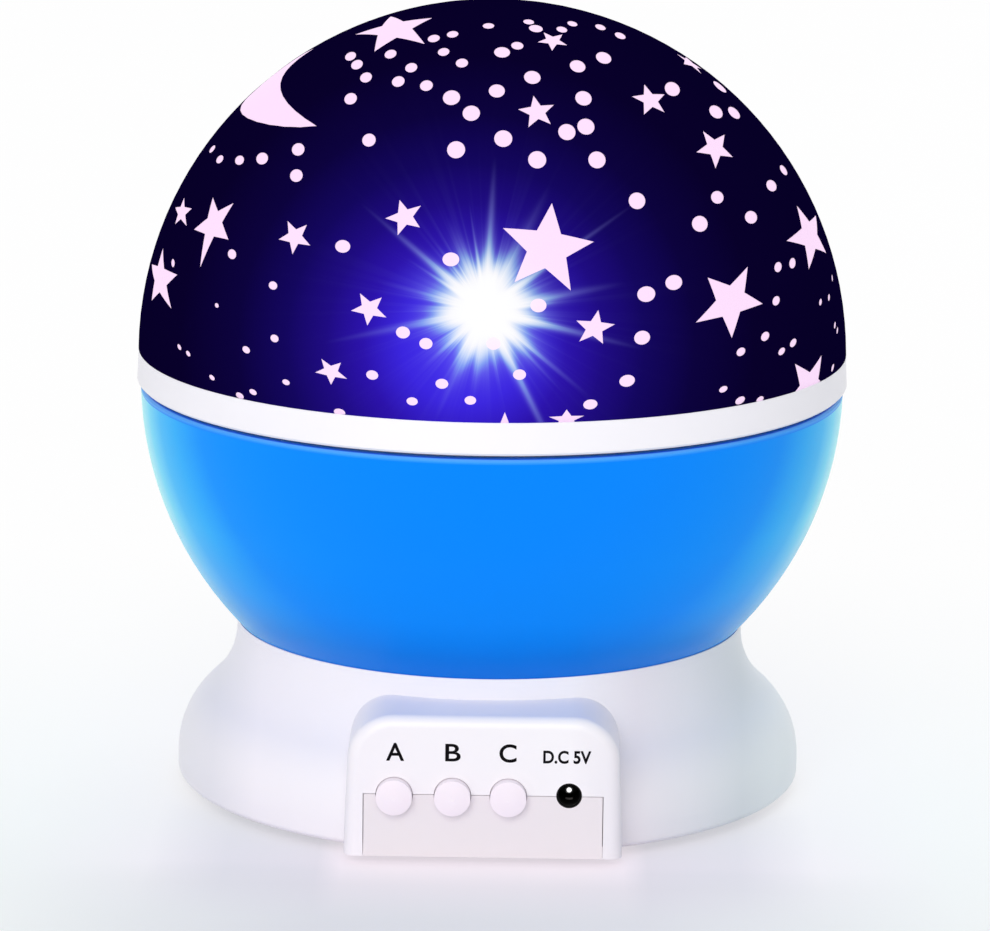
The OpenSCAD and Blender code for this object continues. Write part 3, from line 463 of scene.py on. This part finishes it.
def boardMaterial(name, recipe):
    # solder mask with copper tracks under it and a fine glass weave
    shader = Shader(name)
    where = shader.place()
    tracks = shader.add("ShaderNodeTexBrick", {"offset": 0.5, "squash": 0.7},
                        {"Vector": where, "Scale": 420, "Mortar Size": 0.035, "Mortar Smooth": 0.2,
                         "Bias": 0.0, "Brick Width": 0.9, "Row Height": 0.5}, 1)
    weave = shader.noise(1900, 2, 0.5, where)
    ground = shader.mix(weave, rgb(*recipe["colour"]), rgb(*recipe["tint"]))
    colour = shader.mix(tracks * 0.8, ground, rgb(*recipe["track"]))
    return shader.finish({
        "Base Color": colour,
        "Roughness": 0.3 + weave * 0.15,
        "Normal": shader.bump(tracks * 0.7 + weave * 0.3, 0.2, 0.03 * mm),
        "Coat Weight": 0.3,
    })


cellSettings = {
    "pitch": 11 * mm,  # from one row of cells to the next
    "bandFrom": 12 * mm,
    "bandTo": 16.5 * mm,
    "sleeveEnd": 21.4 * mm,
}


def cellMaterial(name, recipe):
    # printed sleeve with a band at the plus end and bare steel at both ends
    shader = Shader(name)
    where = shader.place()
    across = shader.dot(where, (1, 0, 0))
    row = shader.dot(where, (0, 1, 0))
    # cells are laid in turn one way and the other, so the band changes ends by row
    turned = shader.calc("SINE", row * (math.pi / cellSettings["pitch"]))
    way = (turned > 0) * 2 - 1
    along = across * way
    band = (along > cellSettings["bandFrom"]) * (along < cellSettings["bandTo"])
    steel = abs(along) > cellSettings["sleeveEnd"]
    scuff = shader.noise(260, 4, 0.6, where)
    sleeve = shader.mix(scuff, rgb(*recipe["sleeve"]), rgb(*recipe["sleeveWorn"]))
    sleeve = shader.mix(band, sleeve, rgb(*recipe["band"]))
    return shader.finish({
        "Base Color": shader.mix(steel, sleeve, rgb(206, 206, 204)),
        "Metallic": shader.clamped(steel + 0.15),
        "Roughness": 0.26 + scuff * 0.14,
        "Normal": shader.bump(scuff, 0.08, 0.04 * mm),
        "Coat Weight": 0.2,
    })


def bandedMaterial(name, recipe):
    # small parts with printed bands, such as resistors
    shader = Shader(name)
    bands = shader.add("ShaderNodeTexWave", {"wave_type": "BANDS", "bands_direction": "X"},
                       {"Vector": shader.place(), "Scale": 260, "Distortion": 0.2}, 1)
    speck = shader.noise(1500, 2)
    body = shader.mix(speck, rgb(*recipe["body"]), rgb(*recipe["bodyWorn"]))
    return shader.finish({
        "Base Color": shader.mix((bands > 0.72) * 0.85, body, rgb(*recipe["band"])),
        "Roughness": 0.4 + speck * 0.1,
        "Normal": shader.bump(speck, 0.1, 0.03 * mm),
    })


# the dark skin, with a painted violet glow and a painted burst of white light from the lamp inside,
# given as emission colour; its distances are in steps in the viewing plane, as someone in front of the
# lamp sees them
skySettings = {
    "night": (5, 1, 33),
    "burstAt": Vector((-1.2, -57.0, 18.8)) * mm,  # where the light shows, from the dome's middle
    "glowAt": (-4.4, 1.7),  # middle of the violet glow, mm across and up in the viewing plane
    "viewRise": 11.76,  # degrees that the viewing plane leans back
    "turn": 0.7,  # degrees round, as the star pattern is turned
    "step": 0.1668,  # mm
    "backGlow": 0.55,
    # colour of the skin by steps from the middle of the glow
    "glow": [(0, (74, 56, 246)), (60, (58, 37, 222)), (97, (43, 19, 170)), (133, (30, 12, 128)),
             (172, (18, 7, 92)), (221, (10, 3, 58)), (281, (6, 1, 37)), (350, (5, 1, 33))],
    # colour of the burst by its strength
    "burst": [(0, (140, 124, 240)), (0.25, (150, 156, 246)), (0.5, (172, 214, 252)),
              (0.75, (226, 246, 255)), (0.95, (255, 255, 255)), (1, (255, 255, 255))],
}

burstSettings = {
    "least": 0.001,  # steps, so that no distance is 0 where it divides
    "core": 28.5,  # steps to the edge of the white core, before its rays
    "broadRays": 24.5,  # steps that the broad and the fine short rays add
    "fineRays": 6.5,
    "broadScale": 3.4,
    "fineScale": 13.0,
    "edge": 2.3,  # how sharply the core ends
    "streaks": (0.5, 0.75),  # a fine ray goes on as a faint streak between these
    "streakReach": 34,
    "streakShare": 0.5,
    "rayWidth": 1.9,  # a long ray is wide at its root and keeps some width at its tip
    "tipWidth": 0.55,
    "rayFade": 1.4,
    "rayShare": 1.15,
    "merge": 2.2,  # how much overlapping rays brighten each other
}

# long rays: [degrees from the right, length and half width in steps, strength]
longRays = [
    [87.1, 150, 2.6, 0.62],
    [139.9, 160, 2.2, 0.55],
    [147.3, 92, 1.2, 0.5],
    [165.6, 112, 2.6, 0.3],
    [192.0, 160, 2.6, 0.45],
    [112.4, 98, 4.0, 0.4],
    [99.2, 106, 1.0, 0.6],
    [63.2, 136, 4.2, 0.34],
    [77.0, 80, 2.0, 0.4],
    [36.3, 180, 1.8, 0.5],
    [11.8, 138, 3.2, 0.5],
    [347.0, 158, 2.4, 0.6],
    [321.0, 132, 2.0, 0.5],
    [314.0, 112, 1.4, 0.4],
    [297.0, 190, 2.4, 0.6],
    [263.0, 90, 3.6, 0.5],
    [281.0, 82, 2.4, 0.4],
    [246.0, 122, 3.0, 0.5],
    [223.0, 88, 1.6, 0.4],
    [180.0, 84, 3.0, 0.4],
    [205.0, 76, 2.0, 0.35],
    [127.0, 84, 2.0, 0.35],
    [24.0, 84, 2.0, 0.35],
]


def skyPlane(shader):
    # across and up in the plane that faces a viewer in front, measured from the middle of the dome
    rise = math.radians(skySettings["viewRise"])
    fromMiddle = shader.add("ShaderNodeVectorMath", {"operation": "SUBTRACT"},
                            {0: shader.place(), 1: domeCentre})
    step = skySettings["step"] * mm
    across = shader.dot(fromMiddle, turnedRound((1, 0, 0), skySettings["turn"]) / step)
    depth = shader.dot(fromMiddle, turnedRound((0, 1, 0), skySettings["turn"]) / step)
    height = shader.dot(fromMiddle, Vector((0, 0, 1)) / step)
    front = depth < 0
    up = height * math.cos(rise) - abs(depth) * math.sin(rise)
    return across, up, front


def burstLight(shader, across, up, front, rays=True):
    # white core with short uneven rays round it, then streaks and the long rays
    rise = math.radians(skySettings["viewRise"])
    spot = skySettings["burstAt"] / (skySettings["step"] * mm)
    across = across - spot.x
    up = up - (spot.z * math.cos(rise) + spot.y * math.sin(rise))
    reach = distance(shader, across, up) + burstSettings["least"]
    spoke = shader.add("ShaderNodeCombineXYZ", None, {0: across / reach, 1: up / reach})
    broad = shader.noise(burstSettings["broadScale"], 2, 0.6, spoke)
    fine = shader.noise(burstSettings["fineScale"], 2, 0.7, spoke)
    size = burstSettings["core"] + broad * burstSettings["broadRays"] + fine * burstSettings["fineRays"]
    light = shader.calc("EXPONENT", -((reach / size) ** burstSettings["edge"]))
    if not rays:
        return shader.clamped(light * front)
    fade = shader.calc("EXPONENT", -(reach / burstSettings["streakReach"]))
    light = light + shader.grow(fine, *burstSettings["streaks"]) * fade * burstSettings["streakShare"]
    for angle, length, width, strength in longRays:
        turn = math.radians(angle)
        along = across * math.cos(turn) + up * math.sin(turn)
        aside = across * math.sin(turn) - up * math.cos(turn)
        left = shader.clamped(1 - along / length)
        thick = width * (left * burstSettings["rayWidth"] + burstSettings["tipWidth"])
        ray = shader.calc("EXPONENT", -((aside / thick) * (aside / thick)))
        ray = ray * (left ** burstSettings["rayFade"]) * (along > 0)
        light = light + ray * (strength * burstSettings["rayShare"])
    # overlapping rays grow together softly
    return (1 - shader.calc("EXPONENT", -(light + light * light * burstSettings["merge"]))) * front


def nightSkyMaterial():
    shader = Shader("nightSkySkin")
    across, up, front = skyPlane(shader)
    glowX, glowZ = (value / skySettings["step"] for value in skySettings["glowAt"])
    far = distance(shader, across - glowX, up - glowZ)
    share = front * (1 - skySettings["backGlow"]) + skySettings["backGlow"]
    glow = shader.mix(share, rgb(*skySettings["night"]), shader.scale(far, skySettings["glow"]))
    light = burstLight(shader, across, up, front)
    painted = shader.mix(light, glow, shader.scale(light, skySettings["burst"]))
    grain = shader.noise(2200, 2)
    return shader.finish({
        "Base Color": shader.mix(grain, rgb(2, 0, 14), rgb(3, 0, 18)),
        "Roughness": 0.42 + grain * 0.1,
        "Specular IOR Level": 0.0,
        "Normal": shader.bump(grain, 0.04, 0.03 * mm),
        "Emission Color": painted,
        "Emission Strength": 1.0,
    })


def windowMaterial():
    # milky film behind the cut-outs, with a painted glow from the lamp inside given as emission
    shader = Shader("windowGlow")
    cloud = shader.noise(60, 3)
    across, up, front = skyPlane(shader)
    light = burstLight(shader, across, up, front, rays=False)
    tone = shader.mix(cloud, rgb(255, 223, 252), rgb(254, 225, 254))
    # the painted core of the burst whitens the windows near it
    tone = shader.mix(light, tone, rgb(255, 255, 255))
    return shader.finish({
        "Base Color": shader.mix(cloud, rgb(150, 130, 150), rgb(146, 128, 148)),
        "Roughness": 0.5 + cloud * 0.1,
        "Specular IOR Level": 0.05,
        "Emission Color": tone,
        "Emission Strength": 0.72,
    })


def milkyDomeMaterial():
    # milky clear dome with a faint painted glow from the lamp inside, given as emission
    shader = Shader("milkyDome")
    cloud = shader.noise(60, 3)
    return shader.finish({
        "Base Color": shader.mix(cloud, rgb(246, 232, 250), rgb(240, 228, 248)),
        "Roughness": 0.22 + cloud * 0.1,
        "Transmission Weight": 0.15,
        "Emission Color": shader.mix(cloud, rgb(255, 229, 253), rgb(254, 231, 255)),
        "Emission Strength": 0.3,
    })


made = {name: plasticMaterial(name, recipe) for name, recipe in plastics.items()}
made.update({name: metalMaterial(name, recipe) for name, recipe in metals.items()})
made["nightSky"] = nightSkyMaterial()
made["window"] = windowMaterial()
made["milkyDome"] = milkyDomeMaterial()
made["jackBlack"] = jackMaterial()
made["jackPin"] = pinMaterial()
made["warmLamp"] = lampMaterial("warmLamp", (250, 214, 150), (255, 236, 190))
made["redLamp"] = lampMaterial("redLamp", (214, 30, 34), (255, 90, 80))
made["greenLamp"] = lampMaterial("greenLamp", (30, 180, 70), (120, 240, 140))
made["blueLamp"] = lampMaterial("blueLamp", (34, 70, 220), (110, 150, 255))
made["lampBoard"] = boardMaterial("lampBoard", {"colour": (232, 234, 236), "tint": (222, 226, 228),
                                                 "track": (196, 204, 206)})
made["controlBoard"] = boardMaterial("controlBoard", {"colour": (18, 92, 52), "tint": (14, 78, 44),
                                                       "track": (62, 140, 84)})
made["cells"] = cellMaterial("cells", {"sleeve": (46, 62, 88), "sleeveWorn": (58, 76, 104),
                                       "band": (222, 196, 92)})
made["resistor"] = bandedMaterial("resistor", {"body": (206, 180, 132), "bodyWorn": (190, 162, 112),
                                               "band": (120, 40, 24)})
made["capacitorSleeve"] = bandedMaterial("capacitorSleeve", {"body": (24, 34, 70),
                                                             "bodyWorn": (32, 44, 84),
                                                             "band": (190, 196, 210)})
print("materials made:", len(made))

finishes = {
    "nightSky": ["night_sky_mask"],
    "milkyDome": ["clear_dome"],
    "ringWhite": ["dome_ring"],
    "bowlBlue": ["bowl"],
    "shellWhite": ["base_shell"],
    "plateWhite": ["bottom_plate"],
    "doorWhite": ["battery_door"],
    "buttonWhite": ["button_a", "button_b", "button_c"],
    "jackBlack": ["dc_jack"],
    "jackPin": ["jack_pin"],
    "tableWhite": ["turntable"],
    "washerDark": ["thrust_washer"],
    "postWhite": ["led_post"],
    "deckGrey": ["deck"],
    "gearNylon": ["gear_one"],
    "gearAcetal": ["gear_two"],
    "pinionBrass": ["motor_pinion"],
    "axleSteel": ["gear_axles", "retaining_ring", "axle_clip"],
    "motorCan": ["motor"],
    "screwSteel": ["post_screws", "deck_screws", "motor_screws", "bowl_screws", "base_screws",
                   "door_screw"],
    "lampBoard": ["led_board"],
    "warmLamp": ["warm_led"],
    "redLamp": ["red_led"],
    "greenLamp": ["green_led"],
    "blueLamp": ["blue_led"],
    "footRubber": ["rubber_feet"],
    "cells": ["battery_cells"],
    "springSteel": ["battery_springs"],
    "contactNickel": ["battery_contacts"],
    "controlBoard": ["control_board"],
    "partBlack": ["switch_bodies", "control_chip"],
    "plungerDark": ["plunger_a", "plunger_b", "plunger_c"],
    "capacitorSleeve": ["capacitor"],
    "resistor": ["resistors"],
    "wireRed": ["led_leads", "battery_leads"],
    "wireBlack": ["motor_leads"],
}


def dressNode(node, material):
    if not node.material_slots:
        node.data.materials.append(material)
    for slot in node.material_slots:
        slot.material = material


for finish, names in finishes.items():
    for name in names:
        dressNode(nodes[name], made[finish])
undressed = sorted(set(nodes) - {name for names in finishes.values() for name in names})
print("nodes dressed, left:", undressed)


# film behind the windows

filmSettings = {
    "outerRadius": 59.93 * mm,  # just under the face of the skin, so the windows look flush
    "innerRadius": 59.5 * mm,
    "lowest": 1.2 * mm,  # above the middle of the dome, hidden by the ring
    "around": 192,  # flats round the film and up it
    "up": 60,
}


def shellOfRevolution(name, profile, around, centre):
    # a closed profile of (radius, height), where a radius of 0 becomes a single point
    mesh = bmesh.new()
    turns = [2 * math.pi * k / around for k in range(around)]
    rings = []
    for radius, height in profile:
        places = [(radius * math.cos(t), radius * math.sin(t), height) for t in turns]
        if radius == 0:
            places = [(0, 0, height)]
        rings.append([mesh.verts.new(centre + Vector(place)) for place in places])
    for low, high in zip(rings, rings[1:] + rings[:1]):
        for k in range(around):
            following = (k + 1) % around
            if len(low) == 1 and len(high) == 1:
                break
            if len(high) == 1:
                mesh.faces.new((low[k], low[following], high[0]))
            elif len(low) == 1:
                mesh.faces.new((low[0], high[following], high[k]))
            else:
                mesh.faces.new((low[k], low[following], high[following], high[k]))
    bmesh.ops.recalc_face_normals(mesh, faces=mesh.faces)
    for face in mesh.faces:
        face.smooth = True
    data = bpy.data.meshes.new(name)
    mesh.to_mesh(data)
    mesh.free()
    shell = bpy.data.objects.new(name, data)
    scene.collection.objects.link(shell)
    return shell


def filmFace(radius, start):
    # one face of the film as an arc from its lower edge up to the top of the dome
    count = filmSettings["up"]
    tilts = [start + (math.pi / 2 - start) * k / count for k in range(count)]
    return [(radius * math.cos(tilt), radius * math.sin(tilt)) for tilt in tilts] + [(0, radius)]


def addFilm():
    outer, inner = filmSettings["outerRadius"], filmSettings["innerRadius"]
    start = math.asin(filmSettings["lowest"] / outer)
    profile = filmFace(outer, start) + filmFace(inner, start)[::-1]
    film = shellOfRevolution("window_film", profile, filmSettings["around"], domeCentre)
    film.data.materials.append(made["window"])
    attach(film, "cap")


addFilm()
print("film added")


# printed letters

letterSettings = {
    "face": -54.2 * mm,  # front of the panel
    "thickness": 0.03 * mm,
    "smoothness": 6,
    # middle and size of each row in mm; "bold" spreads the strokes, as a share of the font's size
    "rows": [
        {"name": "letter_a", "text": "A", "x": -14.37, "z": 19.1, "width": 2.95, "height": 3.02,
         "bold": 0.014},
        {"name": "letter_b", "text": "B", "x": -4.97, "z": 19.1, "width": 2.51, "height": 2.95,
         "bold": 0.012},
        {"name": "letter_c", "text": "C", "x": 3.97, "z": 19.1, "width": 2.8, "height": 3.1,
         "bold": 0.016},
        {"name": "letter_supply", "text": "D.C 5V", "x": 13.6, "z": 18.6, "width": 7.8,
         "height": 2.2, "bold": 0.028},
    ],
}


def flatLetters(row):
    curve = bpy.data.curves.new(row["name"], "FONT")
    curve.body = row["text"]
    curve.resolution_u = letterSettings["smoothness"]
    curve.offset = row["bold"]
    writing = bpy.data.objects.new(row["name"] + "_curve", curve)
    scene.collection.objects.link(writing)
    bpy.context.view_layer.update()
    view = bpy.context.evaluated_depsgraph_get()
    flat = bpy.data.meshes.new_from_object(writing.evaluated_get(view))
    bpy.data.objects.remove(writing)
    return flat


def addLetters(row):
    flat = flatLetters(row)
    xs = [v.co.x for v in flat.vertices]
    ys = [v.co.y for v in flat.vertices]
    high = row["height"] * mm / (max(ys) - min(ys))
    wide = row["width"] * mm / (max(xs) - min(xs))
    midX, midY = (max(xs) + min(xs)) / 2, (max(ys) + min(ys)) / 2
    for v in flat.vertices:
        v.co = Vector(((v.co.x - midX) * wide + row["x"] * mm, letterSettings["face"],
                       (v.co.y - midY) * high + row["z"] * mm))
    mesh = bmesh.new()
    mesh.from_mesh(flat)
    raised = bmesh.ops.extrude_face_region(mesh, geom=mesh.faces[:])
    moved = [item for item in raised["geom"] if isinstance(item, bmesh.types.BMVert)]
    bmesh.ops.translate(mesh, verts=moved, vec=(0, -letterSettings["thickness"], 0))
    bmesh.ops.recalc_face_normals(mesh, faces=mesh.faces)
    mesh.to_mesh(flat)
    mesh.free()
    flat.name = row["name"]
    letters = bpy.data.objects.new(row["name"], flat)
    flat.materials.clear()
    flat.materials.append(made["inkBlack"])
    scene.collection.objects.link(letters)
    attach(letters, "base")


for row in letterSettings["rows"]:
    addLetters(row)
print("letters added")


# floor, world and lamps; places on the floor are in mm, away towards the back and aside both ways
stageSettings = {
    "floorSize": 9.0,
    # painted light on the floor by how far away, in mm: in the middle a painted shadow band in front of
    # the lamp and a painted pale pink pool of light close to its foot; out to both flanks a lighter
    # tone with fainter painted shade and a faint cyan tint
    "middle": [(-600, (255, 255, 255)), (-300, (246, 247, 249)), (-140, (222, 222, 228)),
               (-83, (231, 232, 237)), (-65, (240, 235, 242)), (-53, (255, 246, 255)),
               (-32, (250, 246, 252)), (85, (252, 252, 253)), (160, (255, 255, 255))],
    "sides": [(-600, (255, 255, 255)), (-300, (250, 252, 252)), (-140, (240, 244, 244)),
              (-35, (250, 254, 253)), (85, (254, 255, 255)), (160, (255, 255, 255))],
    "sidesGrow": (26, 76),
    # soft shade beside the panel, with where it comes in and goes out
    "shade": 0.42,
    "shadeTone": (208, 212, 222),
    "shadeAside": [(23, 27), (55, 42)],
    "shadeAway": [(-12, -26), (-84, -58)],
    "paperScale": 14,
    "paperShare": 0.04,
    "paperTone": (236, 234, 240),
    "paperRoughness": 0.6,
    "paperGloss": 0.15,
    # share of the paper's plain colour near the lamp, and what is added far behind and before it
    "fill": 0.5,
    "farFill": 0.46,
    "farBehind": (-140, 160),
    "farBefore": (-140, -540),
}


def directlySeen(shader):
    # 1 where the camera, a reflection or a clear piece looks at it
    path = shader.add("ShaderNodeLightPath")
    outputs = path.socket.node.outputs
    return shader.clamped(path + Flow(shader, outputs["Is Glossy Ray"])
                          + Flow(shader, outputs["Is Transmission Ray"]))


def floorMaterial():
    # white paper, with painted shade where the lamp's own stand shades it and a painted pool of light
    # close to its foot
    shader = Shader("floorPaper")
    away = shader.dot(shader.place(), (0, 1, 0)) / mm
    aside = abs(shader.dot(shader.place(), (1, 0, 0))) / mm
    tone = shader.mix(shader.grow(aside, *stageSettings["sidesGrow"]),
                      shader.scale(away, stageSettings["middle"]),
                      shader.scale(away, stageSettings["sides"]))
    shade = stageSettings["shade"]
    for place, limits in ((aside, "shadeAside"), (away, "shadeAway")):
        for start, end in stageSettings[limits]:
            shade = shader.grow(place, start, end) * shade
    tone = shader.mix(shade, tone, rgb(*stageSettings["shadeTone"]))
    paper = shader.noise(stageSettings["paperScale"], 3) * stageSettings["paperShare"]
    tone = shader.mix(paper, tone, rgb(*stageSettings["paperTone"]))
    lit = shader.add("ShaderNodeBsdfPrincipled", None,
                     {"Base Color": tone, "Roughness": stageSettings["paperRoughness"],
                      "Specular IOR Level": stageSettings["paperGloss"]})
    flat = shader.add("ShaderNodeEmission", None, {"Color": tone, "Strength": 1.0})
    far = (shader.grow(away, *stageSettings["farBehind"])
           + shader.grow(away, *stageSettings["farBefore"]))
    fill = stageSettings["fill"] + far * stageSettings["farFill"]
    mixed = shader.add("ShaderNodeMixShader", None, {0: directlySeen(shader) * fill, 1: lit, 2: flat})
    shader.add("ShaderNodeOutputMaterial", None, {"Surface": mixed})
    return shader.material


def addFloor():
    half = stageSettings["floorSize"] / 2
    corners = [(-half, -half, 0), (half, -half, 0), (half, half, 0), (-half, half, 0)]
    data = bpy.data.meshes.new("floor")
    data.from_pydata(corners, [], [(0, 1, 2, 3)])
    data.materials.append(floorMaterial())
    floor = bpy.data.objects.new("floor", data)
    scene.collection.objects.link(floor)


worldSettings = {"sky": (253, 253, 255), "strength": 0.58}

# soft square lamps: places and sizes in metres, power in watts
lampSettings = {
    "aim": Vector((0, 0, 0.06)),
    "lamps": [
        {"name": "keyLamp", "at": Vector((-0.3, -1.6, 0.8)), "size": 1.2, "power": 15.5,
         "tone": (255, 252, 250)},
        {"name": "backLamp", "at": Vector((0.25, 0.85, 1.15)), "size": 0.9, "power": 5.0,
         "tone": (250, 252, 255)},
    ],
}


def addWorld():
    world = bpy.data.worlds.new("studio")
    scene.world = world
    world.use_nodes = True
    shader = Shader("studio", world.node_tree)
    sky = shader.add("ShaderNodeBackground", None,
                     {"Color": rgb(*worldSettings["sky"]), "Strength": worldSettings["strength"]})
    white = shader.add("ShaderNodeBackground", None, {"Color": (1, 1, 1, 1), "Strength": 1.0})
    both = shader.add("ShaderNodeMixShader", None, {0: directlySeen(shader), 1: sky, 2: white})
    shader.add("ShaderNodeOutputWorld", None, {"Surface": both})


def addLamp(lamp):
    data = bpy.data.lights.new(lamp["name"], "AREA")
    data.shape = "SQUARE"
    data.size = lamp["size"]
    data.energy = lamp["power"]
    data.color = rgb(*lamp["tone"])[:3]
    light = bpy.data.objects.new(lamp["name"], data)
    light.location = lamp["at"]
    aim = lampSettings["aim"] - lamp["at"]
    light.rotation_euler = aim.to_track_quat("-Z", "Y").to_euler()
    scene.collection.objects.link(light)


addFloor()
addWorld()
for lamp in lampSettings["lamps"]:
    addLamp(lamp)
print("stage and lamps set")
